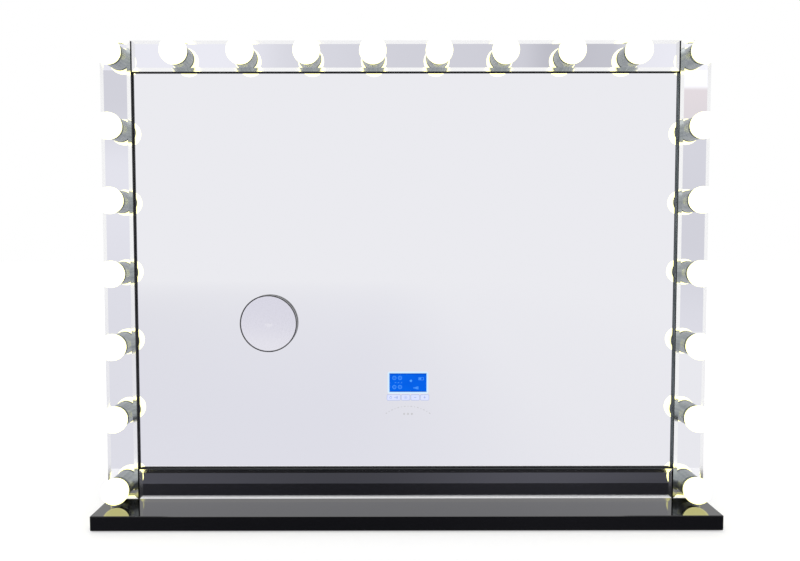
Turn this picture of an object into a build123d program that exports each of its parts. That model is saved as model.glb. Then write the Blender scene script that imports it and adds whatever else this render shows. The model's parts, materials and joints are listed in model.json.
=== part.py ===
"""Lighted vanity mirror: a mirrored frame with 22 globe lamps on a gloss base board.

Frame: origin under the middle of the base board, +X to the right of someone who
looks into the mirror, +Y away from them, +Z up. All sizes are in millimetres.
"""
import os
from math import sqrt

from build123d import *

os.makedirs("parts", exist_ok=True)

# ---------------------------------------------------------------- driving dimensions
# Mirror body
body_width = 1000.0
body_height = 760.0
body_depth = 44.0
strip_width = 50.0
glass_thickness = 5.0
bevel_width = 6.0
bevel_depth = 0.9
strip_joint = 2.4
mirror_gap = 1.0
mirror_recess = 4.0
board_thickness = 3.0
cover_thickness = 2.0

# Frame rails: channels that open to the rear
rail_wall = 2.0
rib_width = 6.0
rib_depth = 10.0
cap_thickness = 2.0
ledge_size = 10.0
ledge_thickness = 2.0
ledge_loom_gap = 5.5
bracket_size = 26.0
bracket_loom_gap = 1.5
bracket_thickness = 2.0

# Base
base_depth = 200.0
base_thickness = 24.0
base_edge = 1.0
pad_thickness = 2.0
pad_radius = 14.0
pad_inset = 34.0
pads_across = 3
pads_deep = 2
bolt_radius = 3.0
bolt_head_radius = 5.0
bolt_head_height = 5.5
bolt_recess = 7.0
bolt_clearance = 0.4
bolt_spacing = 230.0
bolt_count = 4
plate_length = 60.0
plate_rib_gap = 1.0
plate_thickness = 4.0

# Lamps
lamps_across = 10
lamps_down = 7
globe_radius = 21.5
globe_clearance = 0.45
globe_base_gap = 3.5
neck_flare = 1.4
screw_cap_radius = 13.1
screw_cap_start = 8.5
screw_cap_end = 14.0
contact_radius = 4.5
contact_end = 19.0
contact_clearance = 1.5
sleeve_wall = 1.0
sleeve_gap = 1.0
sleeve_height = 22.3
sleeve_foot = 1.5
holder_wall = 3.1
holder_front = 8.0
holder_lip = 1.8
holder_flange = 3.0
socket_clearance = 0.3
hole_clearance = 0.5

# Display and touch keys
display_x = 4.0
display_height = 195.0
display_width = 62.0
display_tall = 31.0
keys_gap = 4.7
keys_width = 71.0
keys_tall = 10.0
recess_margin = 6.0
window_clearance = 0.1
display_depth = 6.0
film_thickness = 0.4
circuit_thickness = 1.6

# Spot mirror
spot_x = -228.0
spot_height = 296.0
spot_radius = 47.5
spot_rim_width = 1.8
spot_rim_depth = 8.0
spot_glass_thickness = 2.5
spot_glass_setback = 1.2
spot_curve_radius = 560.0
spot_seat = 0.2
spot_back_thickness = 2.0
spot_pad_radius = 9.0
spot_pad_thickness = 3.0
spot_pad_circle = 27.0
spot_pad_gap = 0.05
spot_pad_count = 3

# Rear cover, inlet, speakers, power and control electronics
screw_radius = 1.5
screw_head_radius = 2.8
screw_head_height = 1.8
screw_length = 9.0
screw_clearance = 0.2
screws_per_rail = 4
screw_end_inset = 60.0
inlet_x = 330.0
inlet_height = 60.0
inlet_bore_radius = 2.8
inlet_bore_depth = 9.0
inlet_barrel_radius = 4.0
inlet_flange_radius = 6.0
inlet_flange = 2.0
inlet_length = 14.0
inlet_nut = 3.0
power_x = 330.0
power_height = 120.0
power_width = 120.0
power_tall = 60.0
power_air_gap = 3.0
power_corner = 3.0
control_x = -110.0
control_height = 130.0
control_width = 90.0
control_tall = 60.0
stand_off_height = 6.0
stand_off_radius = 3.0
stand_off_inset = 5.0
chip_size = 20.0
chip_height = 6.0
chip_spacing = 34.0
connector_length = 54.0
connector_width = 9.0
speaker_x = 190.0
speaker_height = 250.0
speaker_radius = 28.0
speaker_flange = 3.0
speaker_air_gap = 4.0
speaker_magnet_radius = 15.0
speaker_magnet_depth = 6.0
grille_hole_radius = 1.6
grille_rings = 3
grille_ring_step = 6
vent_length = 32.0
vent_width = 4.0
vent_pitch = 12.0
vent_count = 6
loom_radius = 2.5
loom_cover_gap = 4.5
loom_bend = 15.0
loom_clearance = 1.5
loom_holder_gap = 2.5

# ---------------------------------------------------------------- derived places
half_width = body_width / 2
inner_half = half_width - strip_width
body_bottom = pad_thickness + base_thickness
body_top = body_bottom + body_height
inner_height = body_height - 2 * strip_width
middle_height = body_bottom + body_height / 2

face_y = -body_depth / 2
rail_front_y = face_y + glass_thickness
mirror_front_y = rail_front_y + mirror_recess
mirror_back_y = mirror_front_y + glass_thickness
board_back_y = mirror_back_y + board_thickness
cover_front_y = -face_y - cover_thickness
cover_back_y = -face_y
rail_depth = cover_front_y - rail_front_y

lamp_inset = strip_width / 2
lamp_pitch_x = (body_width - strip_width) / (lamps_across - 1)
lowest_lamp_z = body_bottom + globe_base_gap + globe_radius
lamp_pitch_z = (body_top - lamp_inset - lowest_lamp_z) / (lamps_down - 1)
lamp_z = [body_top - lamp_inset - i * lamp_pitch_z for i in range(lamps_down)]
side_lamp_x = half_width - lamp_inset
lamps_left = [(-side_lamp_x, z) for z in lamp_z]
lamps_right = [(side_lamp_x, z) for z in lamp_z]
lamps_top = [(-side_lamp_x + i * lamp_pitch_x, lamp_z[0]) for i in range(1, lamps_across - 1)]
socket_radius = screw_cap_radius + socket_clearance
holder_radius = socket_radius + holder_wall
holder_floor_depth = contact_end + contact_clearance
lamp_hole_radius = holder_radius + hole_clearance
sleeve_bore = holder_radius + sleeve_gap
sleeve_radius = sleeve_bore + sleeve_wall
globe_stand_off = sleeve_height + sqrt(globe_radius**2 - (sleeve_bore - globe_clearance) ** 2)

display_z = body_bottom + display_height
keys_z = display_z - display_tall / 2 - keys_gap - keys_tall / 2
recess_top = display_z + display_tall / 2 + recess_margin
recess_bottom = keys_z - keys_tall / 2 - recess_margin
recess_width = keys_width + 2 * recess_margin
pad_pitch_x = (body_width - 2 * pad_inset) / (pads_across - 1)
pad_pitch_y = (base_depth - 2 * pad_inset) / (pads_deep - 1)
bolt_x = [(i - (bolt_count - 1) / 2) * bolt_spacing for i in range(bolt_count)]
loom_y = cover_front_y - loom_cover_gap - loom_radius
power_depth = cover_front_y - power_air_gap - board_back_y
loom_front_y = loom_y - loom_radius
ledge_depth = loom_front_y - ledge_loom_gap - board_back_y
bracket_width = 2 * (loom_front_y - bracket_loom_gap)
plate_width = 2 * (cover_front_y - rib_depth - plate_rib_gap)
power_z = body_bottom + power_height
speaker_depth = cover_front_y - speaker_air_gap - board_back_y
speaker_cone_radius = speaker_radius - 2 * speaker_flange
grille_pitch = (speaker_cone_radius - grille_hole_radius) / grille_rings


def evenly(start, end, count):
    """Places from start to end with equal steps."""
    return [start + (end - start) * i / (count - 1) for i in range(count)]


screw_inset = rail_wall + rib_width / 2
side_screw_z = evenly(body_bottom + screw_end_inset, body_top - screw_end_inset, screws_per_rail)
cross_screw_x = evenly(-inner_half + screw_end_inset, inner_half - screw_end_inset, screws_per_rail)
screw_points = [(side * (half_width - screw_inset), z) for side in (-1, 1) for z in side_screw_z]
screw_points += [(x, body_bottom + screw_inset) for x in cross_screw_x]
screw_points += [(x, body_top - screw_inset) for x in cross_screw_x]


# ---------------------------------------------------------------- helpers
def save(piece, name):
    """Label a finished piece and write it as its own STEP file."""
    piece.part.label = name
    export_step(piece.part, f"parts/{name}.step")


def facing(y, x=0.0, z=0.0):
    """A plane that faces the viewer: local x is +X, local y is +Z, its normal is -Y."""
    return Plane(origin=(x, y, z), x_dir=(1, 0, 0), z_dir=(0, -1, 0))


def lamp_section(x, z):
    """A level plane through a lamp's axis, at the mirrored face: local y runs rearwards."""
    return Plane(origin=(x, face_y, z), x_dir=(1, 0, 0), z_dir=(0, 0, 1))


def lamp_axis(x, z):
    return Axis((x, 0, z), (0, 1, 0))


def drill(points, radius, y, depth):
    """Cut round holes towards the viewer, starting at the plane y, in the open part."""
    with BuildSketch(facing(y)) as holes:
        with Locations(*points):
            Circle(radius)
    extrude(holes.sketch, amount=depth, mode=Mode.SUBTRACT)


def bolt_holes(radius, z, depth):
    """Cut the row of base bolt holes upwards from the level z, in the open part."""
    with BuildSketch(Plane.XY.offset(z)) as holes:
        with Locations(*[(x, 0) for x in bolt_x]):
            Circle(radius)
    extrude(holes.sketch, amount=depth, mode=Mode.SUBTRACT)


def bevelled_strip(x, z, width, height, lamps):
    """One glass strip with bevelled edges and a hole for each lampholder."""
    with BuildPart() as strip:
        with BuildSketch(facing(rail_front_y, x, z)):
            Rectangle(width, height)
        extrude(amount=glass_thickness - bevel_depth)
        with BuildSketch(facing(face_y + bevel_depth, x, z)):
            Rectangle(width, height)
        with BuildSketch(facing(face_y, x, z)):
            Rectangle(width - 2 * bevel_width, height - 2 * bevel_width)
        loft(ruled=True)
        if lamps:
            drill(lamps, lamp_hole_radius, rail_front_y, glass_thickness)
    return strip


def channel(plane, length, lamps):
    """One rail. The plane's local x runs from the outer edge inwards, its y rearwards."""
    with BuildPart() as rail:
        with BuildSketch(plane):
            Rectangle(strip_width, rail_depth, align=(Align.MIN, Align.MIN))
            with Locations((rail_wall, rail_wall)):
                Rectangle(
                    strip_width - 2 * rail_wall,
                    rail_depth - rail_wall,
                    align=(Align.MIN, Align.MIN),
                    mode=Mode.SUBTRACT,
                )
            with Locations((rail_wall, rail_depth)):
                Rectangle(rib_width, rib_depth, align=(Align.MIN, Align.MAX))
        extrude(amount=length)
        drill(screw_points, screw_radius, cover_front_y, rib_depth)
        if lamps:
            drill(lamps, lamp_hole_radius, rail_front_y + rail_wall, rail_wall)
    return rail


def loom_hole(x, z):
    """Cut the supply loom's way through a side rail's inner wall, in the open part."""
    with BuildSketch(Plane.YZ.offset(x)) as way:
        with Locations((loom_y, z)):
            Circle(loom_radius + loom_clearance)
    extrude(way.sketch, amount=rail_wall, both=True, mode=Mode.SUBTRACT)


# ---------------------------------------------------------------- base
with BuildPart() as base_board:
    with BuildSketch(Plane.XY.offset(pad_thickness)):
        Rectangle(body_width, base_depth)
    extrude(amount=base_thickness)
    chamfer(base_board.edges(), base_edge)
    bolt_holes(bolt_radius + bolt_clearance, pad_thickness, base_thickness)
    bolt_holes(bolt_head_radius + bolt_clearance, pad_thickness, bolt_recess)
save(base_board, "base_board")

with BuildPart() as base_pads:
    with BuildSketch(Plane.XY):
        with GridLocations(pad_pitch_x, pad_pitch_y, pads_across, pads_deep):
            Circle(pad_radius)
    extrude(amount=pad_thickness)
save(base_pads, "base_pads")

with BuildPart() as base_bolts:
    with BuildSketch(Plane.XY.offset(pad_thickness + bolt_recess - bolt_head_height)):
        with Locations(*[(x, 0) for x in bolt_x]):
            Circle(bolt_head_radius)
            RegularPolygon(bolt_radius, 6, major_radius=False, mode=Mode.SUBTRACT)
    extrude(amount=bolt_head_height / 2)
    with BuildSketch(Plane.XY.offset(pad_thickness + bolt_recess - bolt_head_height / 2)):
        with Locations(*[(x, 0) for x in bolt_x]):
            Circle(bolt_head_radius)
    extrude(amount=bolt_head_height / 2)
    with BuildSketch(Plane.XY.offset(pad_thickness + bolt_recess)):
        with Locations(*[(x, 0) for x in bolt_x]):
            Circle(bolt_radius)
    extrude(amount=base_thickness - bolt_recess + rail_wall + plate_thickness + bolt_clearance)
save(base_bolts, "base_bolts")

with BuildPart() as bolt_plates:
    with BuildSketch(Plane.XY.offset(body_bottom + rail_wall)):
        with Locations(*[(x, 0) for x in bolt_x]):
            Rectangle(plate_length, plate_width)
            Circle(bolt_radius, mode=Mode.SUBTRACT)
    extrude(amount=plate_thickness)
save(bolt_plates, "bolt_plates")

# ---------------------------------------------------------------- frame rails
side_length = body_height - 2 * cap_thickness
left_plane = Plane(
    origin=(-half_width, rail_front_y, body_bottom + cap_thickness), x_dir=(1, 0, 0), z_dir=(0, 0, 1)
)
right_plane = Plane(
    origin=(half_width, rail_front_y, body_top - cap_thickness), x_dir=(-1, 0, 0), z_dir=(0, 0, -1)
)
top_plane = Plane(origin=(-inner_half, rail_front_y, body_top), x_dir=(0, 0, -1), z_dir=(1, 0, 0))
bottom_plane = Plane(origin=(inner_half, rail_front_y, body_bottom), x_dir=(0, 0, 1), z_dir=(-1, 0, 0))

rail_left = channel(left_plane, side_length, lamps_left)
with rail_left:
    loom_hole(-inner_half, lamp_z[0])
save(rail_left, "rail_left")

rail_right = channel(right_plane, side_length, lamps_right)
with rail_right:
    loom_hole(inner_half, lamp_z[0])
    loom_hole(inner_half, power_z)
save(rail_right, "rail_right")

rail_top = channel(top_plane, 2 * inner_half, lamps_top)
save(rail_top, "rail_top")

rail_bottom = channel(bottom_plane, 2 * inner_half, [])
with rail_bottom:
    bolt_holes(bolt_radius + bolt_clearance, body_bottom, rail_wall)
save(rail_bottom, "rail_bottom")

with BuildPart() as rail_end_caps:
    for height in (body_bottom, body_top - cap_thickness):
        with BuildSketch(Plane.XY.offset(height)):
            with Locations((-side_lamp_x, rail_front_y), (side_lamp_x, rail_front_y)):
                Rectangle(strip_width, rail_depth, align=(Align.CENTER, Align.MIN))
        extrude(amount=cap_thickness)
save(rail_end_caps, "rail_end_caps")

with BuildPart() as corner_brackets:
    for side in (-1, 1):
        for level, corner in ((1, body_top - strip_width), (-1, body_bottom + strip_width)):
            with BuildSketch(facing(-bracket_width / 2)):
                with BuildLine():
                    x0 = side * inner_half
                    z0 = corner + level * rail_wall
                    Polyline(
                        (x0, z0),
                        (x0 - side * bracket_size, z0),
                        (x0 - side * bracket_size, z0 + level * bracket_thickness),
                        (x0 - side * bracket_thickness, z0 + level * bracket_thickness),
                        (x0 - side * bracket_thickness, z0 + level * bracket_size),
                        (x0, z0 + level * bracket_size),
                        close=True,
                    )
                make_face()
            extrude(amount=-bracket_width)
save(corner_brackets, "corner_brackets")

# Angle strips on the rails' inner walls, which carry the backing board
with BuildPart() as mirror_ledges:
    for side in (-1, 1):
        for length, reach, plane in (
            (inner_height, inner_half, Plane.XY.offset(middle_height - inner_height / 2)),
            (2 * (inner_half - ledge_size), inner_height / 2, Plane.YZ.offset(ledge_size - inner_half)),
        ):
            with BuildSketch(plane):
                with BuildLine():
                    wall = side * reach
                    lip = side * (reach - ledge_size)
                    root = side * (reach - ledge_thickness)
                    outline = [
                        (wall, board_back_y),
                        (lip, board_back_y),
                        (lip, board_back_y + ledge_thickness),
                        (root, board_back_y + ledge_thickness),
                        (root, board_back_y + ledge_depth),
                        (wall, board_back_y + ledge_depth),
                    ]
                    if reach != inner_half:
                        outline = [(y, middle_height + across) for across, y in outline]
                    Polyline(*outline, close=True)
                make_face()
            extrude(amount=length)
save(mirror_ledges, "mirror_ledges")

# ---------------------------------------------------------------- mirror glass
side_strip_x = half_width - strip_width / 2
save(bevelled_strip(-side_strip_x, middle_height, strip_width, body_height, lamps_left), "strip_left")
save(bevelled_strip(side_strip_x, middle_height, strip_width, body_height, lamps_right), "strip_right")
cross_strip_length = 2 * (inner_half - strip_joint)
top_strip_z = body_top - strip_width / 2
bottom_strip_z = body_bottom + strip_width / 2
save(bevelled_strip(0, top_strip_z, cross_strip_length, strip_width, lamps_top), "strip_top")
save(bevelled_strip(0, bottom_strip_z, cross_strip_length, strip_width, []), "strip_bottom")

with BuildPart() as centre_mirror:
    with BuildSketch(facing(mirror_back_y, 0, middle_height)):
        Rectangle(2 * (inner_half - mirror_gap), inner_height - 2 * mirror_gap)
    extrude(amount=glass_thickness)
    with BuildSketch(facing(mirror_back_y, display_x, display_z)):
        Rectangle(display_width + 2 * window_clearance, display_tall + 2 * window_clearance)
    extrude(amount=glass_thickness, mode=Mode.SUBTRACT)
save(centre_mirror, "centre_mirror")

with BuildPart() as backing_board:
    with BuildSketch(facing(board_back_y, 0, middle_height)):
        Rectangle(2 * (inner_half - mirror_gap), inner_height - 2 * mirror_gap)
    extrude(amount=board_thickness)
    with BuildSketch(facing(board_back_y, display_x, (recess_top + recess_bottom) / 2)):
        Rectangle(recess_width, recess_top - recess_bottom)
    extrude(amount=board_thickness, mode=Mode.SUBTRACT)
save(backing_board, "backing_board")

# ---------------------------------------------------------------- display and touch keys
with BuildPart() as display_window:
    with BuildSketch(facing(mirror_back_y, display_x, display_z)):
        Rectangle(display_width, display_tall)
    extrude(amount=glass_thickness)
save(display_window, "display_window")

with BuildPart() as display_module:
    with BuildSketch(facing(mirror_back_y + display_depth, display_x, display_z)):
        Rectangle(display_width + recess_margin / 2, display_tall + recess_margin / 2)
    extrude(amount=display_depth)
    with BuildSketch(facing(mirror_back_y + display_depth, display_x, display_z)):
        Rectangle(display_width + recess_margin, display_tall + recess_margin)
    extrude(amount=-circuit_thickness)
save(display_module, "display_module")

with BuildPart() as touch_film:
    with BuildSketch(facing(mirror_back_y + film_thickness, display_x, keys_z)):
        Rectangle(keys_width, keys_tall)
    extrude(amount=film_thickness)
save(touch_film, "touch_film")

with BuildPart() as control_board:
    board_plane = facing(board_back_y + stand_off_height, control_x, body_bottom + control_height)
    with BuildSketch(board_plane):
        Rectangle(control_width, control_tall)
    extrude(amount=-circuit_thickness)
    with BuildSketch(board_plane):
        with GridLocations(control_width - 2 * stand_off_inset, control_tall - 2 * stand_off_inset, 2, 2):
            Circle(stand_off_radius)
    extrude(amount=stand_off_height)
    with BuildSketch(board_plane.offset(-circuit_thickness)):
        with Locations((0, chip_size / 2)):
            with GridLocations(chip_spacing, 0, 2, 1):
                Rectangle(chip_size, chip_size)
        with Locations((0, stand_off_inset + connector_width - control_tall / 2)):
            Rectangle(connector_length, connector_width)
    extrude(amount=-chip_height)
save(control_board, "control_board")

# ---------------------------------------------------------------- power, sound and wiring
with BuildPart() as power_module:
    with BuildSketch(facing(board_back_y + power_depth, power_x, power_z)):
        RectangleRounded(power_width, power_tall, power_corner)
    extrude(amount=power_depth)
save(power_module, "power_module")

with BuildPart() as dc_inlet:
    inlet_plane = facing(cover_back_y, inlet_x, body_bottom + inlet_height)
    with BuildSketch(inlet_plane):
        Circle(inlet_barrel_radius)
    extrude(amount=inlet_length)
    with BuildSketch(inlet_plane):
        Circle(inlet_flange_radius)
    extrude(amount=-inlet_flange)
    with BuildSketch(facing(cover_front_y, inlet_x, body_bottom + inlet_height)):
        RegularPolygon(inlet_flange_radius, 6, major_radius=False)
    extrude(amount=inlet_nut)
    with BuildSketch(inlet_plane.offset(-inlet_flange)):
        Circle(inlet_bore_radius)
    extrude(amount=inlet_bore_depth, mode=Mode.SUBTRACT)
save(dc_inlet, "dc_inlet")


def speaker(x):
    """A small driver on the rear cover's inner face, facing rearwards."""
    z = body_bottom + speaker_height
    section = Plane(origin=(x, cover_front_y, z), x_dir=(1, 0, 0), z_dir=(0, 0, 1))
    cone_end = speaker_depth - speaker_magnet_depth
    with BuildPart() as driver:
        with BuildSketch(section):
            with BuildLine():
                Polyline(
                    (0, -speaker_flange),
                    (speaker_cone_radius, 0),
                    (speaker_radius, 0),
                    (speaker_radius, -speaker_flange),
                    (speaker_radius - speaker_flange, -speaker_flange),
                    (speaker_magnet_radius, -cone_end),
                    (speaker_magnet_radius, -speaker_depth),
                    (0, -speaker_depth),
                    close=True,
                )
            make_face()
        revolve(axis=lamp_axis(x, z))
    return driver


save(speaker(-speaker_x), "speaker_left")
save(speaker(speaker_x), "speaker_right")

with BuildPart() as supply_loom:
    with BuildLine():
        FilletPolyline(
            (power_x + power_width / 2, loom_y, power_z),
            (side_lamp_x, loom_y, power_z),
            (side_lamp_x, loom_y, lamp_z[0]),
            (-side_lamp_x, loom_y, lamp_z[0]),
            (-side_lamp_x, loom_y, lamp_z[-1]),
            radius=loom_bend,
        )
    with BuildSketch(Plane.YZ.offset(power_x + power_width / 2)):
        with Locations((loom_y, power_z)):
            Circle(loom_radius)
    sweep()
save(supply_loom, "supply_loom")

# ---------------------------------------------------------------- rear cover
with BuildPart() as rear_cover:
    with BuildSketch(facing(cover_back_y, 0, middle_height)):
        RectangleRounded(body_width, body_height, cover_thickness)
    extrude(amount=cover_thickness)
    drill(screw_points, screw_radius + screw_clearance, cover_back_y, cover_thickness)
    inlet_point = (inlet_x, body_bottom + inlet_height)
    drill([inlet_point], inlet_barrel_radius, cover_back_y, cover_thickness)
    for side in (-1, 1):
        with BuildSketch(facing(cover_back_y, side * speaker_x, body_bottom + speaker_height)):
            Circle(grille_hole_radius)
            for ring in range(1, grille_rings + 1):
                with PolarLocations(ring * grille_pitch, ring * grille_ring_step):
                    Circle(grille_hole_radius)
        extrude(amount=cover_thickness, mode=Mode.SUBTRACT)
    for vent_z in (power_z, body_top - power_height):
        with BuildSketch(facing(cover_back_y, 0, vent_z)):
            with GridLocations(2 * vent_length, vent_pitch, vent_count, 2):
                SlotOverall(vent_length, vent_width)
        extrude(amount=cover_thickness, mode=Mode.SUBTRACT)
save(rear_cover, "rear_cover")

with BuildPart() as cover_screws:
    with BuildSketch(facing(cover_back_y)):
        with Locations(*screw_points):
            Circle(screw_head_radius)
    extrude(amount=-screw_head_height)
    fillet(cover_screws.edges().group_by(Axis.Y)[-1], screw_head_height / 2)
    with BuildSketch(facing(cover_back_y)):
        with Locations(*screw_points):
            Circle(screw_radius)
    extrude(amount=screw_length)
    with BuildSketch(facing(cover_back_y + screw_head_height)):
        with Locations(*screw_points):
            Rectangle(screw_head_radius, screw_head_radius / 4)
            Rectangle(screw_head_radius / 4, screw_head_radius)
    extrude(amount=screw_head_height / 2, mode=Mode.SUBTRACT)
save(cover_screws, "cover_screws")

# ---------------------------------------------------------------- lamps
def sleeves(points):
    """Metal sleeves round the lampholders, standing on the mirrored face."""
    with BuildPart() as group:
        with BuildSketch(facing(face_y)):
            with Locations(*points):
                Circle(sleeve_radius)
                Circle(lamp_hole_radius, mode=Mode.SUBTRACT)
        extrude(amount=sleeve_foot)
        with BuildSketch(facing(face_y - sleeve_foot)):
            with Locations(*points):
                Circle(sleeve_radius)
                Circle(sleeve_bore, mode=Mode.SUBTRACT)
        extrude(amount=sleeve_height - sleeve_foot)
    return group


def lampholders(points):
    """Screw lampholders, clamped behind the rail's front wall by their flange."""
    flange_y = rail_front_y + rail_wall + holder_flange
    holder_back_y = loom_front_y - loom_holder_gap
    with BuildPart() as group:
        with BuildSketch(facing(holder_back_y)):
            with Locations(*points):
                Circle(holder_radius)
        extrude(amount=holder_back_y - face_y + holder_front)
        with BuildSketch(facing(flange_y)):
            with Locations(*points):
                Circle(holder_radius + holder_lip)
        extrude(amount=holder_flange)
        drill(points, socket_radius, face_y + holder_floor_depth, holder_floor_depth + holder_front)
    return group


for row, points in (("left", lamps_left), ("right", lamps_right), ("top", lamps_top)):
    save(sleeves(points), f"sleeves_{row}")
    save(lampholders(points), f"lampholders_{row}")


def globe_lamp(x, z):
    """An opal globe lamp with its screw cap and foot contact, turned about its axis."""
    neck_radius = screw_cap_radius + neck_flare
    neck_y = sqrt(globe_radius**2 - neck_radius**2) - globe_stand_off
    with BuildPart() as lamp:
        with BuildSketch(lamp_section(x, z)):
            with BuildLine():
                RadiusArc(
                    (0, -globe_stand_off - globe_radius),
                    (globe_radius, -globe_stand_off),
                    -globe_radius,
                )
                RadiusArc((globe_radius, -globe_stand_off), (neck_radius, neck_y), -globe_radius)
                Polyline(
                    (neck_radius, neck_y),
                    (screw_cap_radius, -screw_cap_start),
                    (screw_cap_radius, screw_cap_end),
                    (contact_radius, contact_end - rail_wall),
                    (contact_radius, contact_end),
                    (0, contact_end),
                    (0, -globe_stand_off - globe_radius),
                )
            make_face()
        revolve(axis=lamp_axis(x, z))
    return lamp


for row, points in (("left", lamps_left), ("right", lamps_right), ("top", lamps_top)):
    for number, (x, z) in enumerate(points, start=1):
        save(globe_lamp(x, z), f"bulb_{row}_{number}")

# ---------------------------------------------------------------- spot mirror
# Depths here are measured rearwards from the centre mirror's face
spot_z = body_bottom + spot_height
spot_section = Plane(origin=(spot_x, mirror_front_y, spot_z), x_dir=(1, 0, 0), z_dir=(0, 0, 1))
spot_axis = lamp_axis(spot_x, spot_z)
pad_front = -spot_pad_gap - spot_pad_thickness
back_front = pad_front - spot_back_thickness
rim_front = pad_front - spot_rim_depth
spot_glass_radius = spot_radius - spot_rim_width
spot_glass_front = rim_front + spot_glass_setback
spot_sag = spot_curve_radius - sqrt(spot_curve_radius**2 - spot_glass_radius**2)

with BuildPart() as spot_pads:
    with BuildSketch(facing(mirror_front_y - spot_pad_gap, spot_x, spot_z)):
        with PolarLocations(spot_pad_circle, spot_pad_count, start_angle=90):
            Circle(spot_pad_radius)
    extrude(amount=spot_pad_thickness)
save(spot_pads, "spot_pads")

with BuildPart() as spot_back:
    with BuildSketch(facing(mirror_front_y + pad_front, spot_x, spot_z)):
        Circle(spot_glass_radius - spot_seat)
    extrude(amount=spot_back_thickness)
save(spot_back, "spot_back")

with BuildPart() as spot_rim:
    with BuildSketch(facing(mirror_front_y + pad_front, spot_x, spot_z)):
        Circle(spot_radius)
        Circle(spot_glass_radius, mode=Mode.SUBTRACT)
    extrude(amount=spot_rim_depth)
    front_edges = spot_rim.edges().group_by(Axis.Y)[0]
    chamfer(front_edges, spot_rim_width / 4)
save(spot_rim, "spot_rim")


def spot_face(radius):
    """Depth of the spot glass's hollow face at a radius."""
    return spot_glass_front + spot_sag - spot_curve_radius + sqrt(spot_curve_radius**2 - radius**2)


with BuildPart() as spot_glass:
    with BuildSketch(spot_section):
        with BuildLine():
            edge = spot_glass_radius - spot_seat
            back = spot_face(0) + spot_glass_thickness
            ThreePointArc((0, spot_face(0)), (edge / 2, spot_face(edge / 2)), (edge, spot_face(edge)))
            Polyline((edge, spot_face(edge)), (edge, back), (0, back), (0, spot_face(0)))
        make_face()
    revolve(axis=spot_axis)
save(spot_glass, "spot_glass")
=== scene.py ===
"""Looks of the lighted vanity mirror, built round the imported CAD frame. Units: metres."""
import json
import math

import bpy
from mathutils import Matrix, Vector

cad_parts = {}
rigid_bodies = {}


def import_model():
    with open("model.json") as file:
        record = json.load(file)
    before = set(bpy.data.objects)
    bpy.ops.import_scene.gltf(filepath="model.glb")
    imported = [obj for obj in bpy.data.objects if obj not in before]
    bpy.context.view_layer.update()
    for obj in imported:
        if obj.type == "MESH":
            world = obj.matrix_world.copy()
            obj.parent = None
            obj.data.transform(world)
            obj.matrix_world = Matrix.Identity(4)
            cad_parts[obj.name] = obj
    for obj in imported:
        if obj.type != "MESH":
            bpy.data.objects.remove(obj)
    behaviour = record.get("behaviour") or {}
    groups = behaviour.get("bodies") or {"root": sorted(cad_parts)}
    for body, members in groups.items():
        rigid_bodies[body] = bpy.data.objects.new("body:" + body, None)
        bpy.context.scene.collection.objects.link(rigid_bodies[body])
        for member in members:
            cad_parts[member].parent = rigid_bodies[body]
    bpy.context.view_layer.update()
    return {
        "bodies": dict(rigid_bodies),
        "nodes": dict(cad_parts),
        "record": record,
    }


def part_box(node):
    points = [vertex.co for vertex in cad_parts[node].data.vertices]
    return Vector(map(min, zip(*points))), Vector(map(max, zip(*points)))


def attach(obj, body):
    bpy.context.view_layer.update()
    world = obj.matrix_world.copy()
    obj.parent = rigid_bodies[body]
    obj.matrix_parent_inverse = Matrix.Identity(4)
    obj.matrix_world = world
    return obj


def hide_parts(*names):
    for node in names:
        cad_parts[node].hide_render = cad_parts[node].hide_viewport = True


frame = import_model()
nodes = frame["nodes"]
MM = 0.001


# ------------------------------------------------------------------ places from the frame
def node_box(name):
    low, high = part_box(name)
    return Vector(low), Vector(high)


def middle(name):
    low, high = node_box(name)
    return (low + high) / 2


strip_low, strip_high = node_box("strip_left")
face_y = strip_low.y
rail_front_y = strip_high.y
mirror_y = node_box("centre_mirror")[0].y
inner_low = Vector((node_box("rail_left")[1].x, 0, node_box("rail_bottom")[1].z))
inner_high = Vector((node_box("rail_right")[0].x, 0, node_box("rail_top")[0].z))
base_low, base_high = node_box("base_board")
lamp_names = [name for name in frame["bodies"] if name.startswith("bulb_")]
sleeves_low, sleeves_high = node_box("sleeves_top")
sleeve_front_y = sleeves_low.y
sleeve_radius = (sleeves_high.z - sleeves_low.z) / 2

camera_side = -0.0253
camera_distance = 1.2092
camera_height = 0.4347
camera_place = Vector((camera_side, face_y - camera_distance, base_high.z + camera_height))


# ------------------------------------------------------------------ material helpers
def shader(name, color, roughness, metallic=0.0, **sockets):
    """A material with one Principled shader; returns it with its node tree and shader."""
    material = bpy.data.materials.new(name)
    material.use_nodes = True
    tree = material.node_tree
    principled = tree.nodes["Principled BSDF"]
    principled.inputs["Base Color"].default_value = (*color, 1.0)
    principled.inputs["Roughness"].default_value = roughness
    principled.inputs["Metallic"].default_value = metallic
    for socket, value in sockets.items():
        principled.inputs[socket.replace("_", " ")].default_value = value
    return material, tree, principled


def noise(tree, scale, detail=4.0, stretch=(1.0, 1.0, 1.0)):
    """Noise over the object's own coordinates, stretched along its axes."""
    place = tree.nodes.new("ShaderNodeTexCoord")
    mapping = tree.nodes.new("ShaderNodeMapping")
    mapping.inputs["Scale"].default_value = stretch
    texture = tree.nodes.new("ShaderNodeTexNoise")
    texture.inputs["Scale"].default_value = scale
    texture.inputs["Detail"].default_value = detail
    tree.links.new(place.outputs["Object"], mapping.inputs["Vector"])
    tree.links.new(mapping.outputs["Vector"], texture.inputs["Vector"])
    return texture.outputs["Fac"]


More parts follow.
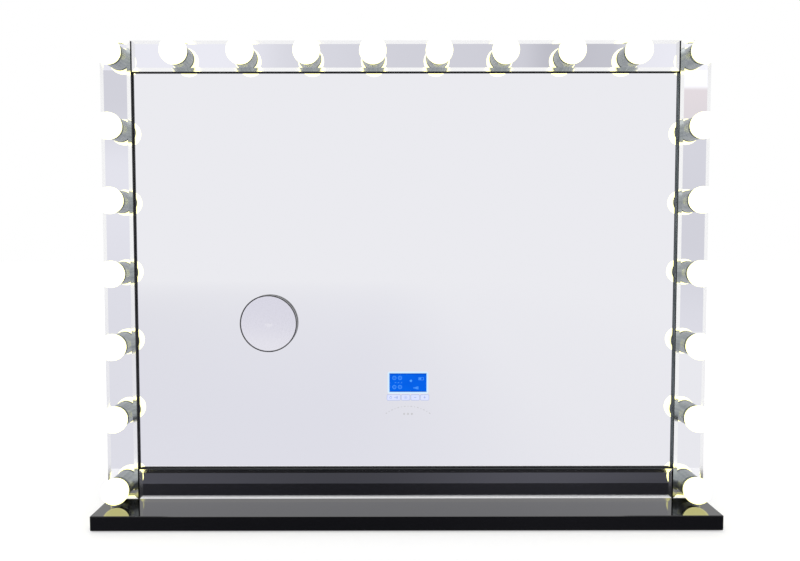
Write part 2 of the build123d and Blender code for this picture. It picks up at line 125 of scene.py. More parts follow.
def remap(tree, value, low, high, start=0.3, end=0.7):
    """Map a value's range from start..end to low..high."""
    node = tree.nodes.new("ShaderNodeMapRange")
    node.inputs["From Min"].default_value = start
    node.inputs["From Max"].default_value = end
    node.inputs["To Min"].default_value = low
    node.inputs["To Max"].default_value = high
    tree.links.new(value, node.inputs["Value"])
    return node.outputs["Result"]


def blend_colors(tree, factor, first, second):
    node = tree.nodes.new("ShaderNodeMix")
    node.data_type = "RGBA"
    for socket, color in (("A", first), ("B", second)):
        if isinstance(color, tuple):
            node.inputs[socket].default_value = (*color, 1.0)
        else:
            tree.links.new(color, node.inputs[socket])
    tree.links.new(factor, node.inputs["Factor"])
    return node.outputs["Result"]


def bump(tree, principled, height, strength, distance):
    node = tree.nodes.new("ShaderNodeBump")
    node.inputs["Strength"].default_value = strength
    node.inputs["Distance"].default_value = distance
    tree.links.new(height, node.inputs["Height"])
    tree.links.new(node.outputs["Normal"], principled.inputs["Normal"])


def turned_away(tree, limit):
    """1 on faces whose normal is further from the Y axis than limit, a cosine; 0 elsewhere."""
    geometry = tree.nodes.new("ShaderNodeNewGeometry")
    split = tree.nodes.new("ShaderNodeSeparateXYZ")
    size = tree.nodes.new("ShaderNodeMath")
    size.operation = "ABSOLUTE"
    under = tree.nodes.new("ShaderNodeMath")
    under.operation = "LESS_THAN"
    under.inputs[1].default_value = limit
    tree.links.new(geometry.outputs["True Normal"], split.inputs["Vector"])
    tree.links.new(split.outputs["Y"], size.inputs[0])
    tree.links.new(size.outputs["Value"], under.inputs[0])
    return under.outputs["Value"]


def prism_normal(tree, sides):
    """A glass bevel bends light back over the pane, so it mirrors as if it leaned the other way."""
    lean = 1.25
    geometry = tree.nodes.new("ShaderNodeNewGeometry")
    turned = tree.nodes.new("ShaderNodeVectorMath")
    turned.operation = "MULTIPLY"
    turned.inputs[1].default_value = (-lean, 1.0, -lean)
    unit = tree.nodes.new("ShaderNodeVectorMath")
    unit.operation = "NORMALIZE"
    choose = tree.nodes.new("ShaderNodeMix")
    choose.data_type = "VECTOR"
    tree.links.new(geometry.outputs["True Normal"], turned.inputs[0])
    tree.links.new(turned.outputs["Vector"], unit.inputs[0])
    # The mix node names its sockets alike for every type, so its vector ones go by number
    vector_a, vector_b, vector_result = choose.inputs[4], choose.inputs[5], choose.outputs[1]
    tree.links.new(sides, choose.inputs["Factor"])
    tree.links.new(unit.outputs["Vector"], vector_a)
    tree.links.new(geometry.outputs["Normal"], vector_b)
    return vector_result


# ------------------------------------------------------------------ materials
def mirror_material(name, tint, bevel_tint, edge, bevelled=True):
    """Silvered glass: clear mirror in front, softly polished bevels, dark ground edges.
    Curved glass without bevels is soft all over and keeps its own normals."""
    material, tree, principled = shader(name, tint, 0.01, 1.0, IOR=1.08)
    sides = turned_away(tree, 0.5)
    bevels = turned_away(tree, 0.997)
    silver = blend_colors(tree, bevels, tint, bevel_tint)
    tree.links.new(blend_colors(tree, sides, silver, edge), principled.inputs["Base Color"])
    tree.links.new(remap(tree, sides, 1.0, 0.0, 0.0, 1.0), principled.inputs["Metallic"])
    smears = remap(tree, noise(tree, 6.0, 5.0, (1.0, 1.0, 0.4)), 0.0, 0.02)
    polish = tree.nodes.new("ShaderNodeMath")
    polish.operation = "MULTIPLY_ADD"
    polish.inputs[0].default_value = 1.0
    polish.inputs[1].default_value = 0.12
    if bevelled:
        tree.links.new(bevels, polish.inputs[0])
    tree.links.new(smears, polish.inputs[2])
    tree.links.new(polish.outputs["Value"], principled.inputs["Roughness"])
    if bevelled:
        tree.links.new(prism_normal(tree, sides), principled.inputs["Normal"])
    return material


def brushed_metal(name, dark, light, roughness, along, lines=260.0):
    """Satin metal with fine lines; along stretches the grain."""
    material, tree, principled = shader(name, light, roughness, 1.0)
    grain = noise(tree, lines, 3.0, along)
    patches = noise(tree, 40.0, 3.0)
    tone = blend_colors(tree, remap(tree, grain, 0.0, 1.0), dark, light)
    tree.links.new(tone, principled.inputs["Base Color"])
    uneven = remap(tree, patches, roughness - 0.06, roughness + 0.06)
    tree.links.new(uneven, principled.inputs["Roughness"])
    bump(tree, principled, grain, 0.08, 0.0002)
    return material


def moulded(name, color, roughness, grain_scale=1400.0, strength=0.2, **sockets):
    """Moulded or painted surface with a fine texture and faint uneven gloss."""
    material, tree, principled = shader(name, color, roughness, **sockets)
    grain = noise(tree, grain_scale, 2.0)
    wear = noise(tree, 18.0, 6.0)
    lighter = tuple(min(1.0, channel * 1.5 + 0.004) for channel in color)
    tone = blend_colors(tree, remap(tree, wear, 0.0, 1.0), color, lighter)
    tree.links.new(tone, principled.inputs["Base Color"])
    uneven = remap(tree, wear, roughness - 0.05, roughness + 0.07)
    tree.links.new(uneven, principled.inputs["Roughness"])
    bump(tree, principled, grain, strength, 0.0001)
    return material


def lacquer_material():
    """High gloss black lacquer with faint ripple and slightly uneven polish."""
    material, tree, principled = shader("base_lacquer", (0.003, 0.003, 0.004), 0.06, 0.0, IOR=1.6)
    tree.links.new(remap(tree, noise(tree, 9.0, 6.0), 0.03, 0.09), principled.inputs["Roughness"])
    bump(tree, principled, noise(tree, 60.0, 2.0), 0.02, 0.0004)
    return material


def opal_material():
    """Lit opal glass with a warm glow, faintly cloudy."""
    material, tree, principled = shader("lamp_opal", (0.20, 0.20, 0.16), 0.2)
    cloud = remap(tree, noise(tree, 55.0, 3.0), 0.0, 1.0)
    glow = blend_colors(tree, cloud, (1.0, 0.94, 0.38), (1.0, 0.96, 0.41))
    tree.links.new(glow, principled.inputs["Emission Color"])
    principled.inputs["Emission Strength"].default_value = 2.4
    tree.links.new(remap(tree, cloud, 0.16, 0.24, 0.0, 1.0), principled.inputs["Roughness"])
    return material


def glowing(name, first, second, strength=1.0, roughness=0.25, scale=30.0):
    """A backlit print or display, or the etched mark's painted glow: the emission drifts a little between
    two colours.
    """
    base = tuple(0.1 * channel for channel in first)
    material, tree, principled = shader(name, base, roughness, IOR=1.1)
    drift = remap(tree, noise(tree, scale, 2.0), 0.0, 1.0)
    tree.links.new(blend_colors(tree, drift, first, second), principled.inputs["Emission Color"])
    principled.inputs["Emission Strength"].default_value = strength
    return material


def board_material():
    """Raw fibre board with a fine grain."""
    material, tree, principled = shader("board_wood", (0.40, 0.28, 0.16), 0.7)
    grain = noise(tree, 300.0, 5.0, (0.2, 1.0, 1.0))
    dark, light = (0.30, 0.20, 0.11), (0.48, 0.35, 0.21)
    tone = blend_colors(tree, remap(tree, grain, 0.0, 1.0), dark, light)
    tree.links.new(tone, principled.inputs["Base Color"])
    bump(tree, principled, grain, 0.3, 0.0003)
    return material


EVEN = (1.0, 1.0, 1.0)
materials = {
    "mirror_glass": mirror_material(
        "mirror_glass", (0.83, 0.83, 0.87), (0.90, 0.90, 0.91), (0.008, 0.012, 0.013)
    ),
    "spot_mirror_glass": mirror_material(
        "spot_mirror_glass", (0.77, 0.76, 0.83), (0.77, 0.76, 0.83), (0.03, 0.05, 0.05), bevelled=False
    ),
    # The sleeve metal's streaks along the axis are brushed grain, and their light and dark tones also
    # paint the reflection bands the sleeves show.
    "sleeve_metal": brushed_metal(
        "sleeve_metal", (0.29, 0.32, 0.32), (0.40, 0.43, 0.43), 0.32, (1.0, 0.02, 1.0)
    ),
    "rim_chrome": brushed_metal("rim_chrome", (0.05, 0.05, 0.055), (0.12, 0.12, 0.13), 0.18, EVEN),
    "inlet_metal": brushed_metal("inlet_metal", (0.45, 0.45, 0.44), (0.64, 0.64, 0.62), 0.22, EVEN),
    "frame_aluminium": brushed_metal(
        "frame_aluminium", (0.4, 0.4, 0.42), (0.6, 0.6, 0.62), 0.38, (0.03, 1.0, 1.0)
    ),
    "fastener_steel": brushed_metal(
        "fastener_steel", (0.25, 0.25, 0.26), (0.45, 0.45, 0.46), 0.30, EVEN
    ),
    "frame_black": moulded("frame_black", (0.008, 0.008, 0.010), 0.36, 2000.0, 0.1, IOR=1.3),
    "cover_paint": moulded("cover_paint", (0.014, 0.014, 0.015), 0.5, 1500.0, 0.5),
    "holder_plastic": moulded("holder_plastic", (0.02, 0.02, 0.02), 0.45),
    "black_plastic": moulded("black_plastic", (0.02, 0.02, 0.022), 0.5),
    "pad_rubber": moulded("pad_rubber", (0.02, 0.02, 0.02), 0.8, 900.0, 0.5),
    "wire_sheath": moulded("wire_sheath", (0.02, 0.02, 0.02), 0.6),
    "circuit_board": moulded("circuit_board", (0.01, 0.09, 0.035), 0.35),
    "board_wood": board_material(),
    "base_lacquer": lacquer_material(),
    "lamp_opal": opal_material(),
    "display_glass": glowing("display_glass", (0.0, 0.10, 0.70), (0.0, 0.13, 0.80), roughness=0.08),
}
for entry in frame["record"]["subparts"]:
    mesh = nodes[entry["node"]].data
    mesh.materials.clear()
    mesh.materials.append(materials[entry["material_slot"]])

collar_plastic = moulded("collar_plastic", (0.75, 0.74, 0.70), 0.4, 900.0, 0.1)
insulator_glass = moulded("insulator_glass", (0.01, 0.01, 0.012), 0.12, 500.0, 0.05)
contact_brass = brushed_metal("contact_brass", (0.45, 0.33, 0.14), (0.68, 0.52, 0.26), 0.3, EVEN)
seal_and_painted_shade = moulded("seal_and_painted_shade", (0.006, 0.007, 0.008), 0.4)
# Light metal for the strip on the right recess wall: painted light where light falls on that wall; the
# left wall has none.
painted_light_strip_metal = brushed_metal(
    "painted_light_strip_metal", (0.30, 0.36, 0.37), (0.42, 0.48, 0.49), 0.35, (1.0, 1.0, 0.05)
)
lip_metal = brushed_metal("lip_metal", (0.05, 0.055, 0.055), (0.14, 0.15, 0.15), 0.22, EVEN)


# ------------------------------------------------------------------ mesh helpers
def add_piece(name, vertices, faces, material, body="frame", sharp=35.0):
    """A new piece of the object from points and faces, with crisp edges above an angle."""
    mesh = bpy.data.meshes.new(name)
    mesh.from_pydata(vertices, [], faces)
    mesh.materials.append(material)
    mesh.polygons.foreach_set("use_smooth", [True] * len(mesh.polygons))
    mesh.set_sharp_from_angle(angle=math.radians(sharp))
    return place_piece(name, mesh, (0, 0, 0), body)


def place_piece(name, mesh, place, body):
    piece = bpy.data.objects.new(name, mesh)
    piece.location = place
    bpy.context.collection.objects.link(piece)
    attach(piece, body)
    return piece


def turned_mesh(name, profile, parts, segments=48, thread=None):
    """A solid turned about the Y axis. profile runs from end to end as (radius, y).
    parts gives (material, last profile row) in order; thread adds to the radius."""
    vertices, faces, slots = [], [], []
    for radius, y in profile:
        for step in range(segments):
            angle = 2 * math.pi * step / segments
            reach = radius + (thread(y, angle) if thread else 0.0)
            vertices.append((reach * math.cos(angle), y, reach * math.sin(angle)))
    for row in range(len(profile) - 1):
        part = next(i for i, (_, last) in enumerate(parts) if row < last)
        for step in range(segments):
            after = (step + 1) % segments
            near, far = row * segments, (row + 1) * segments
            faces.append((near + step, near + after, far + after, far + step))
            slots.append(part)
    closed = profile[0] == profile[-1]
    if not closed:
        faces.append(tuple(reversed(range(segments))))
        faces.append(tuple(range(len(vertices) - segments, len(vertices))))
        slots += [0, len(parts) - 1]
    mesh = bpy.data.meshes.new(name)
    mesh.from_pydata(vertices, [], faces)
    for material, _ in parts:
        mesh.materials.append(material)
    mesh.polygons.foreach_set("material_index", slots)
    mesh.polygons.foreach_set("use_smooth", [True] * len(faces))
    mesh.set_sharp_from_angle(angle=math.radians(40))
    return mesh


def round_section(radius, y, tube, steps=10):
    """A closed round section for a ring, as (radius, y) points."""
    turns = [2 * math.pi * step / steps for step in range(steps)]
    points = [(radius + tube * math.cos(turn), y + tube * math.sin(turn)) for turn in turns]
    return points + points[:1]


def rounded_outline(x, z, width, height, radius, steps=4):
    """Corner-rounded rectangle about (x, z), counter-clockwise from its right side."""
    points = []
    for corner, (side, level) in enumerate(((1, 1), (-1, 1), (-1, -1), (1, -1))):
        centre_x = x + side * (width / 2 - radius)
        centre_z = z + level * (height / 2 - radius)
        for step in range(steps + 1):
            angle = math.pi / 2 * (corner + step / steps)
            points.append((centre_x + radius * math.cos(angle), centre_z + radius * math.sin(angle)))
    return points


def round_outline(x, z, radius, steps=20):
    turns = [2 * math.pi * step / steps for step in range(steps)]
    return [(x + radius * math.cos(turn), z + radius * math.sin(turn)) for turn in turns]


class Prints:
    """Thin printed or etched shapes that stand just in front of the centre mirror."""

    def __init__(self, thickness):
        self.front = mirror_y - thickness
        self.vertices = []
        self.faces = []

    def solid(self, outline):
        start, count = len(self.vertices), len(outline)
        self.vertices += [(x, self.front, z) for x, z in outline]
        self.vertices += [(x, mirror_y, z) for x, z in outline]
        self.faces.append(tuple(range(start, start + count)))
        self.faces.append(tuple(reversed(range(start + count, start + 2 * count))))
        self.walls(start, start + count, count)

    def band(self, outer, inner):
        start, count = len(self.vertices), len(outer)
        for outline in (outer, inner):
            for y in (self.front, mirror_y):
                self.vertices += [(x, y, z) for x, z in outline]
        outer_front, outer_back, inner_front, inner_back = (start + i * count for i in range(4))
        for first, second in (
            (outer_front, outer_back),
            (inner_back, inner_front),
            (inner_front, outer_front),
            (outer_back, inner_back),
        ):
            self.walls(first, second, count)

    def walls(self, first, second, count):
        for step in range(count):
            after = (step + 1) % count
            self.faces.append((first + after, first + step, second + step, second + after))

    def bar(self, x, z, width, height, angle=0.0):
        corners = ((1, 1), (-1, 1), (-1, -1), (1, -1))
        across, up = math.cos(angle), math.sin(angle)
        half_w, half_h = width / 2, height / 2
        self.solid([
            (x + i * half_w * across - j * half_h * up, z + i * half_w * up + j * half_h * across)
            for i, j in corners
        ])

    def ring(self, x, z, radius, line):
        self.band(round_outline(x, z, radius), round_outline(x, z, radius - line))

    def frame(self, x, z, width, height, radius, line):
        inner = rounded_outline(x, z, width - 2 * line, height - 2 * line, max(radius - line, 0.1 * MM))
        self.band(rounded_outline(x, z, width, height, radius), inner)

    def finish(self, name, material):
        return add_piece(name, self.vertices, self.faces, material)


# ------------------------------------------------------------------ globe lamps
LAMP = node_box("bulb_top_1")
globe_radius = (LAMP[1].x - LAMP[0].x) / 2
globe_centre = LAMP[0].y + globe_radius
contact_end = LAMP[1].y
cap_radius = 13.1 * MM
neck_radius = cap_radius + 1.4 * MM
cap_start = face_y - 8.5 * MM
cap_end = face_y + 14.0 * MM
thread_pitch = 3.6 * MM
thread_depth = 0.8 * MM
contact_radius = 4.5 * MM


def globe_profile():
    """Front of the globe round to its neck, then a ribbed collar down to the cap."""
    last = math.pi - math.asin(neck_radius / globe_radius)
    steps = 26
    profile = []
    for step in range(steps + 1):
        angle = 0.02 + (last - 0.02) * step / steps
        profile.append((globe_radius * math.sin(angle), globe_centre - globe_radius * math.cos(angle)))
    glass_rows = steps
    neck_y = profile[-1][1]
    ribs = 5
    for rib in range(ribs):
        for share, dip in ((0.1, 0.0), (0.55, 0.0), (0.65, 0.5), (0.95, 0.5)):
            along = (rib + share) / ribs
            radius = neck_radius + (cap_radius - neck_radius) * along - dip * MM
            profile.append((radius, neck_y + (cap_start - neck_y) * along))
    profile.append((cap_radius - 1.0 * MM, cap_start))
    return profile, glass_rows


def thread_swell(y, angle):
    """Rounded screw thread that fades out at both ends of the cap."""
    run_in = min(1.0, max(0.0, (y - cap_start) / (2 * MM)))
    run_out = min(1.0, max(0.0, (cap_end - y) / (2 * MM)))
    turn = 2 * math.pi * y / thread_pitch - angle
    return thread_depth * run_in * run_out * (0.5 + 0.5 * math.cos(turn))


def cap_profile():
    """Threaded shell, black insulator and foot contact, front to back."""
    rows = 36
    root = cap_radius - thread_depth
    profile = [(root - 0.4 * MM, cap_start)]
    profile += [(root, cap_start + (cap_end - cap_start) * row / rows) for row in range(rows + 1)]
    shell_rows = len(profile) - 1
    profile.append((root - 1.2 * MM, cap_end + 0.6 * MM))
    profile.append((contact_radius + 0.8 * MM, contact_end - 2.0 * MM))
    insulator_rows = len(profile) - 1
    profile += [(contact_radius, contact_end - 1.4 * MM), (contact_radius, contact_end - 0.5 * MM)]
    profile += [(contact_radius - 1.5 * MM, contact_end)]
    return profile, shell_rows, insulator_rows


profile, glass_rows = globe_profile()
globe_mesh = turned_mesh(
    "lamp_globe", profile, [(materials["lamp_opal"], glass_rows), (collar_plastic, len(profile))]
)
profile, shell_rows, insulator_rows = cap_profile()
cap_mesh = turned_mesh(
    "lamp_cap",
    profile,
    [
        (materials["inlet_metal"], shell_rows),
        (insulator_glass, insulator_rows),
        (contact_brass, len(profile)),
    ],
    segments=40,
    thread=thread_swell,
)
lip = round_section(sleeve_radius - 0.5 * MM, sleeve_front_y + 0.3 * MM, 0.75 * MM)
lip_mesh = turned_mesh("sleeve_lip", lip, [(lip_metal, len(lip))])
bead = round_section(sleeve_radius - 0.1 * MM, sleeve_front_y + 3.4 * MM, 0.6 * MM)
bead_mesh = turned_mesh("sleeve_bead", bead, [(lip_metal, len(bead))])
# The near-black seal ring in the sleeve mouth is a seal, and its colour also paints the shade inside the
# mouth, next to the globe.
seal_outer = sleeve_radius - 1.05 * MM
seal = [
    (seal_outer, sleeve_front_y + 2.8 * MM),
    (seal_outer - 1.2 * MM, sleeve_front_y + 2.3 * MM),
    (seal_outer - 2.3 * MM, sleeve_front_y + 2.8 * MM),
    (seal_outer - 2.3 * MM, sleeve_front_y + 4.0 * MM),
    (seal_outer, sleeve_front_y + 4.0 * MM),
    (seal_outer, sleeve_front_y + 2.8 * MM),
]
seal_mesh = turned_mesh("lamp_seal", seal, [(seal_and_painted_shade, len(seal))])
for name in lamp_names:
    centre = middle(name)
    place = (centre.x, 0, centre.z)
    globe = place_piece(name.replace("bulb", "globe"), globe_mesh, place, name)
    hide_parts(name)
    place_piece(name.replace("bulb", "screw_cap"), cap_mesh, place, name)
    place_piece(name.replace("bulb", "sleeve_lip"), lip_mesh, place, "frame")
    place_piece(name.replace("bulb", "sleeve_bead"), bead_mesh, place, "frame")
    place_piece(name.replace("bulb", "lamp_seal"), seal_mesh, place, "frame")

# ------------------------------------------------------------------ display and touch keys
window_low, window_high = node_box("display_window")
window_size = window_high - window_low
window = middle("display_window")
keys_low, keys_high = node_box("touch_film")
keys = middle("touch_film")


def display_prints():
    """Glow round the display, its dark border and the symbols it shows."""
    icons = Prints(0.10 * MM)
    left = window_low.x + 8.0 * MM
    for row, z in enumerate((window.z + 8.0 * MM, window.z - 7.5 * MM)):
        for column in range(2):
            x = left + column * 9.5 * MM
            icons.ring(x, z, 3.4 * MM, 0.7 * MM)
            for petal in range(5):
                turn = math.pi * (0.5 + 0.4 * petal)
                petal_x = x + 1.6 * MM * math.cos(turn)
                petal_z = z + 1.6 * MM * math.sin(turn)
                icons.solid(round_outline(petal_x, petal_z, 0.5 * MM, 8))
    for step in range(3):
        icons.bar(left + (2 + step * 5) * MM, window.z, 2.6 * MM, 0.8 * MM, 0.5 * step)
    icons.bar(window.x + 5.0 * MM, window.z + 3.0 * MM, 3.6 * MM, 3.6 * MM, math.pi / 4)
    for step in range(4):
        icons.bar(window.x + (10 + 2.2 * step) * MM, window.z - 9.0 * MM, 1.4 * MM, (2 + step) * MM)
    icons.frame(window.x + 22.0 * MM, window.z + 6.5 * MM, 9.0 * MM, 5.0 * MM, 0.8 * MM, 0.6 * MM)
    icons.bar(window.x + 20.4 * MM, window.z + 6.5 * MM, 3.6 * MM, 2.6 * MM)
    icons.finish("display_icons", glowing("icon_blue", (0.06, 0.30, 0.92), (0.10, 0.38, 1.0)))

    border = Prints(0.06 * MM)
    for side in (-1, 1):
        border.bar(window.x, window.z + side * (window_size.z / 2 - 0.7 * MM), window_size.x, 1.4 * MM)
    border.finish("display_border", glowing("border_blue", (0.0, 0.04, 0.42), (0.0, 0.06, 0.5)))

    for name, start, end, first, second in (
        ("display_glow_inner", 0.1, 1.4, (0.42, 0.72, 0.95), (0.48, 0.78, 1.0)),
        ("display_glow_outer", 1.4, 3.2, (0.66, 0.76, 0.90), (0.70, 0.80, 0.94)),
    ):
        glow = Prints(0.05 * MM)
        outlines = [
            rounded_outline(
                window.x, window.z, window_size.x + 2 * gap * MM, window_size.z + 2 * gap * MM, gap * MM
            )
            for gap in (end, start)
        ]
        glow.band(*outlines)
        glow.finish(name, glowing(name, first, second))


def key_prints():
    """Four touch keys in a row, outlined and softly lit, with plain symbols."""
    line = 0.55 * MM
    gap = 1.2 * MM
    height = keys_high.z - keys_low.z
    shares = (0.34, 0.22, 0.22, 0.22)
    length = keys_high.x - keys_low.x - gap * (len(shares) - 1)
    cells = Prints(0.04 * MM)
    outlines = Prints(0.07 * MM)
    symbols = Prints(0.07 * MM)
    x = keys_low.x
    centres = []
    for share in shares:
        width = share * length
        centre = x + width / 2
        centres.append(centre)
        cells.solid(rounded_outline(centre, keys.z, width - line, height - line, 1.5 * MM))
        outlines.frame(centre, keys.z, width, height, 1.8 * MM, line)
        x += width + gap
    symbols.ring(centres[0] - 5 * MM, keys.z, 2.2 * MM, 0.6 * MM)
    symbols.bar(centres[0] - 5 * MM, keys.z + 1.8 * MM, 0.6 * MM, 2.2 * MM)
    for step in range(4):
        symbols.bar(centres[0] + (1 + 1.8 * step) * MM, keys.z, 0.9 * MM, (1.5 + step) * MM)
    symbols.ring(centres[1], keys.z, 1.5 * MM, 0.6 * MM)
    for ray in range(8):
        turn = math.pi * ray / 4
        ray_x = centres[1] + 2.7 * MM * math.cos(turn)
        ray_z = keys.z + 2.7 * MM * math.sin(turn)
        symbols.bar(ray_x, ray_z, 1.1 * MM, 0.4 * MM, turn)
    symbols.bar(centres[2], keys.z, 4.0 * MM, 0.8 * MM)
    symbols.bar(centres[3], keys.z, 4.0 * MM, 0.8 * MM)
    symbols.bar(centres[3], keys.z + 1.3 * MM, 0.8 * MM, 1.7 * MM)
    symbols.bar(centres[3], keys.z - 1.3 * MM, 0.8 * MM, 1.7 * MM)
    cells.finish("key_cells", glowing("key_pale", (0.60, 0.66, 0.92), (0.68, 0.72, 0.96)))
    print_blue = glowing("key_print", (0.24, 0.32, 0.62), (0.30, 0.38, 0.70))
    outlines.finish("key_outlines", print_blue)
    symbols.finish("key_symbols", print_blue)


def etched_mark():
    """A plain etched ornament below the keys: an arc of dashes over three dots."""
    mark = Prints(0.03 * MM)
    arc_radius = 62.0 * MM
    arc_x = (window.x + keys.x) / 2
    arc_z = keys_low.z - 10.0 * MM - arc_radius
    dashes = 15
    half_spread = math.radians(36)
    for dash in range(dashes):
        turn = half_spread * (2 * dash / (dashes - 1) - 1)
        long = dash % 2 == 0
        mark.bar(
            arc_x + arc_radius * math.sin(turn),
            arc_z + arc_radius * math.cos(turn),
            (2.6 if long else 1.3) * MM,
            1.3 * MM,
            -turn,
        )
    dots_z = arc_z + arc_radius - 13.0 * MM
    for step in (-1, 0, 1):
        mark.bar(arc_x + 6.5 * step * MM, dots_z, 3.0 * MM, 3.0 * MM, math.pi / 4)
    # The etched mark is no lamp: its grey emission is painted light, for the light its etched frosting
    # scatters.
    etched_grey = glowing("etched_grey", (0.48, 0.48, 0.50), (0.56, 0.56, 0.58), roughness=0.6)
    mark.finish("etched_mark", etched_grey)


display_prints()
key_prints()
etched_mark()


# ------------------------------------------------------------------ painted light strip on the right recess wall
def box_faces(low, high, vertices, faces):
    """Add one box with all six sides to a list of points and faces."""
    start = len(vertices)
    for x in (low.x, high.x):
        for y in (low.y, high.y):
            for z in (low.z, high.z):
                vertices.append((x, y, z))
    for quad in ((0, 1, 3, 2), (4, 6, 7, 5), (0, 4, 5, 1), (2, 3, 7, 6), (0, 2, 6, 4), (1, 5, 7, 3)):
        faces.append(tuple(start + corner for corner in quad))


def recess_painted_light_strip():
    """Thin light metal strip on the right recess wall only, between the strip and the centre mirror:
    painted light, for the light that falls on that wall.
    """
    vertices, faces = [], []
    low = Vector((inner_high.x - 0.25 * MM, rail_front_y + 0.8 * MM, inner_low.z))
    high = Vector((inner_high.x, mirror_y - 0.8 * MM, inner_high.z))
    box_faces(low, high, vertices, faces)
    add_piece("recess_painted_light_strip", vertices, faces, painted_light_strip_metal)


recess_painted_light_strip()


# ------------------------------------------------------------------ stage
def quad(name, corners, material):
    mesh = bpy.data.meshes.new(name)
    mesh.from_pydata(corners, [], [(0, 1, 2, 3)])
    mesh.materials.append(material)
    piece = bpy.data.objects.new(name, mesh)
    bpy.context.collection.objects.link(piece)
    return piece


def floor_material():
    """Pale studio floor, bright enough to melt into the white background."""
    material, tree, principled = shader("floor_white", (0.55, 0.55, 0.55), 0.9)
    principled.inputs["Emission Color"].default_value = (1.0, 1.0, 1.0, 1.0)
    principled.inputs["Emission Strength"].default_value = 0.46
    return material


CARD_STRENGTH = 1.25


def card_material(name, axis, stops):
    """A lit card whose colour runs through stops, (place along the axis, colour)."""
    material = bpy.data.materials.new(name)
    material.use_nodes = True
    tree = material.node_tree
    tree.nodes.clear()
    place = tree.nodes.new("ShaderNodeTexCoord")
    split = tree.nodes.new("ShaderNodeSeparateXYZ")
    tree.links.new(place.outputs["Object"], split.inputs["Vector"])
    start, end = stops[0][0], stops[-1][0]
    along = remap(tree, split.outputs[axis], 0.0, 1.0, start, end)
    ramp = tree.nodes.new("ShaderNodeValToRGB")
    ramp.color_ramp.interpolation = "EASE"
    elements = ramp.color_ramp.elements
    while len(elements) < len(stops):
        elements.new(0.5)
    for element, (where, color) in zip(elements, stops):
        element.position = (where - start) / (end - start)
        element.color = (*(channel / CARD_STRENGTH for channel in color), 1.0)
    tree.links.new(along, ramp.inputs["Fac"])
    emission = tree.nodes.new("ShaderNodeEmission")
    emission.inputs["Strength"].default_value = CARD_STRENGTH
    output = tree.nodes.new("ShaderNodeOutputMaterial")
    tree.links.new(ramp.outputs["Color"], emission.inputs["Color"])
    tree.links.new(emission.outputs["Emission"], output.inputs["Surface"])
    return material


def card(name, corners, axis, stops):
    """A card that only the mirrors and the gloss see."""
    piece = quad(name, corners, card_material(name, axis, stops))
    piece.visible_camera = False
    piece.visible_diffuse = False
    piece.visible_shadow = False
    piece.visible_transmission = False
    return piece


def fade_to_white(piece, axis, start, end):
    """Let a card's colour fade to white from start to end along an axis."""
    tree = piece.data.materials[0].node_tree
    emission = next(node for node in tree.nodes if node.type == "EMISSION")
    split = next(node for node in tree.nodes if node.type == "SEPXYZ")
    tone = emission.inputs["Color"].links[0].from_socket
    share = remap(tree, split.outputs[axis], 0.0, 1.0, start, end)
    faded = blend_colors(tree, share, tone, (1.0 / CARD_STRENGTH,) * 3)
    tree.links.new(faded, emission.inputs["Color"])


def seen_in(point, y):
    """Where the camera's ray meets the plane y after the mirrored face turns it at a point."""
    run = point - camera_place
    share = (point.y - y) / run.y
    return point + Vector((run.x, -run.y, run.z)) * share


floor_half = 14
quad(
    "floor",
    [
        (-floor_half, -floor_half, 0),
        (floor_half, -floor_half, 0),
        (floor_half, floor_half, 0),
        (-floor_half, floor_half, 0),
    ],
    floor_material(),
)

# Dark flags in front of the base: an upright lip and two strips on the floor. The lip and
# the long strip stop where the side strips would see them.
bottom_low, bottom_high = node_box("strip_bottom")
lip_y = base_low.y - 0.5 * MM
lip_bottom = base_high.z + 6.0 * MM
lip_top = seen_in(Vector((0, face_y, bottom_high.z)), lip_y).z
fall = (camera_place.z - bottom_high.z) / (face_y - camera_place.y)
flag_front = face_y - bottom_high.z / fall
flag_back = base_low.y - 70 * MM
dark = (0.065, 0.065, 0.075)
less_dark = (0.095, 0.095, 0.11)
dark_stops = [(-0.6, less_dark), (-0.1, dark), (0.25, less_dark), (0.6, dark)]


def strip_ends(y):
    """Left and right ends of the bottom strip's view where it meets the plane y."""
    return [seen_in(Vector((edge.x, face_y, 0)), y).x for edge in (bottom_low, bottom_high)]


def upright_flag(name, y, bottom, top):
    """A dark flag across the bottom strip's view, facing the mirror."""
    left, right = strip_ends(y)
    card(name, [(left, y, bottom), (right, y, bottom), (right, y, top), (left, y, top)], "X", dark_stops)


upright_flag("lip_flag", lip_y, lip_bottom, lip_top)
# The base's gloss looks out under the lip, so a second flag further out closes that gap
upright_flag("gap_flag", lip_y - 20.0 * MM, base_high.z + 7.0 * MM, base_high.z + 15.0 * MM)
near_left, near_right = strip_ends(flag_back)
far_left, far_right = strip_ends(flag_front)
flag_z = 1 * MM
card(
    "strip_flag",
    [
        (far_left, flag_front, flag_z),
        (far_right, flag_front, flag_z),
        (near_right, flag_back, flag_z),
        (near_left, flag_back, flag_z),
    ],
    "X",
    dark_stops,
)
side = base_high.x * 1.12
card(
    "base_flag",
    [
        (-side, flag_back, flag_z),
        (side, flag_back, flag_z),
        (side, base_low.y, flag_z),
        (-side, base_low.y, flag_z),
    ],
    "X",
    dark_stops,
)

# Floor in front, faintly lavender as the mirrors see it, fading out into the distance
lavender = (0.82, 0.82, 0.86)
soft_lavender = (0.88, 0.88, 0.92)
pale = (0.97, 0.97, 0.98)
white = (1.0, 1.0, 1.0)
reach = floor_half - 0.1
tone_z = 2 * MM
fade_start, fade_end = -0.7, -7.0
tone = card(
    "floor_tone",
    [
        (-reach, -reach, tone_z),
        (reach, -reach, tone_z),
        (reach, flag_front, tone_z),
        (-reach, flag_front, tone_z),
    ],
    "X",
    [(-2.0, lavender), (-0.2, soft_lavender), (0.5, pale), (2.0, white)],
)
fade_to_white(tone, "Y", fade_start, fade_end)

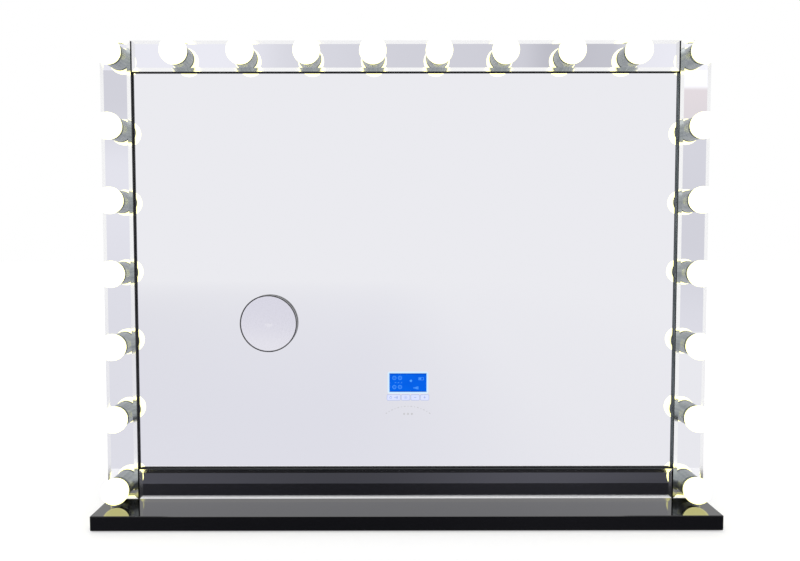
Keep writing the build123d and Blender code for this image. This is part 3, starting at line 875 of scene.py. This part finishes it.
# Tall cards, seen only in reflection, that paint the tone the side strips and the top strip reflect
behind_camera = 1.2
card_y = camera_place.y - behind_camera
strip_point_y = 0.4
left_inner = seen_in(Vector((inner_low.x - 1.5 * MM, face_y, strip_point_y)), card_y).x
right_inner = seen_in(Vector((inner_high.x + 1.5 * MM, face_y, strip_point_y)), card_y).x
card_width = 0.42
top_edge = seen_in(Vector((0, face_y, inner_high.z + 2 * MM)), card_y).z
top_card_height = 0.30
card_top = top_edge + top_card_height


def grey(level, blue=0.04):
    """A neutral tone with a slight lavender cast."""
    return (level, level, level + blue)


def upright(name, left, right, bottom, top, axis, stops):
    """A card that stands in front, facing the mirror."""
    corners = [(left, card_y, bottom), (right, card_y, bottom), (right, card_y, top), (left, card_y, top)]
    return card(name, corners, axis, stops)


left_card = upright(
    "left_card", left_inner - card_width, left_inner, 0.0, card_top, "Z",
    [(0.0, grey(0.86)), (0.8, grey(0.93)), (1.15, grey(0.77)), (card_top, grey(0.77))],
)
right_card = upright(
    "right_card", right_inner, right_inner + card_width, 0.0, card_top, "Z",
    [
        (0.0, grey(0.86)),
        (0.45, grey(0.77)),
        (1.0, grey(0.80)),
        (1.08, (0.90, 0.84, 0.84)),
        (1.19, (0.93, 0.86, 0.86)),
        (1.215, (1.22, 1.22, 1.22)),
        (card_top, (1.22, 1.22, 1.22)),
    ],
)
top_card = upright(
    "top_card", left_inner - card_width, right_inner + card_width, top_edge, card_top, "X",
    [
        (-1.4, grey(1.0)),
        (-0.85, grey(1.0)),
        (-0.46, grey(0.82)),
        (0.1, grey(0.76)),
        (0.6, grey(0.74)),
        (0.76, grey(0.62)),
        (1.05, grey(0.66)),
        (1.22, grey(0.98)),
        (1.4, grey(1.0)),
    ],
)

# The strips see only the cards' inner parts, so the rest fades out of other views
kept_width = 0.17
fade_to_white(left_card, "X", left_inner - kept_width, left_inner - card_width)
fade_to_white(right_card, "X", right_inner + kept_width, right_inner + card_width)
fade_to_white(top_card, "Z", top_edge + kept_width, card_top)

# ------------------------------------------------------------------ light
world = bpy.data.worlds.new("studio")
world.use_nodes = True
world.node_tree.nodes["Background"].inputs["Color"].default_value = (1.0, 1.0, 1.0, 1.0)
world.node_tree.nodes["Background"].inputs["Strength"].default_value = 1.0
bpy.context.scene.world = world
bpy.context.scene.view_settings.view_transform = "Standard"

key_place, key_target = Vector((0.0, -1.2, 2.6)), Vector((0.0, 0.0, 0.4))
key_data = bpy.data.lights.new("key", "AREA")
key_data.shape = "RECTANGLE"
key_data.size, key_data.size_y = 2.4, 1.2
key_data.energy = 14
key = bpy.data.objects.new("key", key_data)
key.location = key_place
key.rotation_euler = (key_target - key_place).to_track_quat("-Z", "Y").to_euler()
bpy.context.collection.objects.link(key)

# ------------------------------------------------------------------ camera
sensor_width = 36.0
focal_share = 0.91325
tilt_down, roll, turn = 0.0495, 0.0011, -0.0011
camera_data = bpy.data.cameras.new("camera")
camera_data.sensor_width = sensor_width
camera_data.lens = sensor_width * focal_share
camera_data.shift_x = 0.011
camera_data.shift_y = -0.0055
camera = bpy.data.objects.new("camera", camera_data)
camera.location = camera_place
camera.rotation_euler = (math.pi / 2 - tilt_down, roll, turn)
bpy.context.collection.objects.link(camera)
bpy.context.scene.camera = camera
